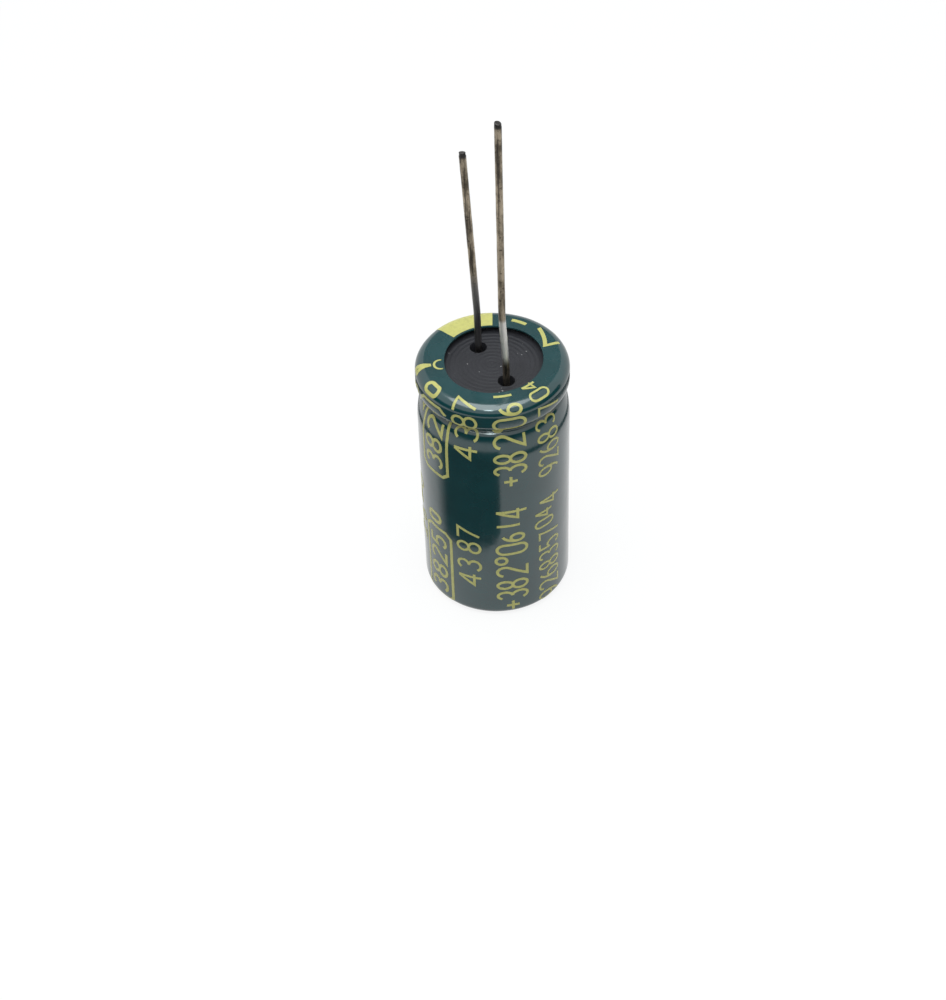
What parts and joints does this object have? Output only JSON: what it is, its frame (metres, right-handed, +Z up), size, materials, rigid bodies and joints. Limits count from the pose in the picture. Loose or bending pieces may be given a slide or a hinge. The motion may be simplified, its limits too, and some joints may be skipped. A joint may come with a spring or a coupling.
{
  "type": "electrolytic capacitor",
  "caption": "Radial aluminium electrolytic capacitor with a dark green sleeve, pale polarity band and two uncut leads, one longer.",
  "frame": {"origin": "centre of the underside of the vented end, where the part stands", "axes": "+Z up the can's axis, out of the end with the leads; +X from the cathode lead to the anode lead"},
  "size_m": [0.0132, 0.0132, 0.0508],
  "materials": {
    "sleeve_film": "gloss",
    "print_ink": "gloss",
    "can_aluminium": "satin",
    "bung_rubber": "matte",
    "tinned_wire": "tarnished",
    "tab_aluminium": "satin",
    "etched_foil": "matte",
    "plain_foil": "satin",
    "separator_paper": "matte",
    "closing_tape": "matte"
  },
  "bodies": {
    "root": {"sleeve": "sleeve_film", "polarity_band": "print_ink", "can": "can_aluminium", "rubber_bung": "bung_rubber", "anode_lead": "tinned_wire", "cathode_lead": "tinned_wire", "anode_tab": "tab_aluminium", "cathode_tab": "tab_aluminium", "anode_foil": "etched_foil", "cathode_foil": "plain_foil", "inner_paper": "separator_paper", "outer_paper": "separator_paper", "closing_tape": "closing_tape"}
  },
  "joints": []
}
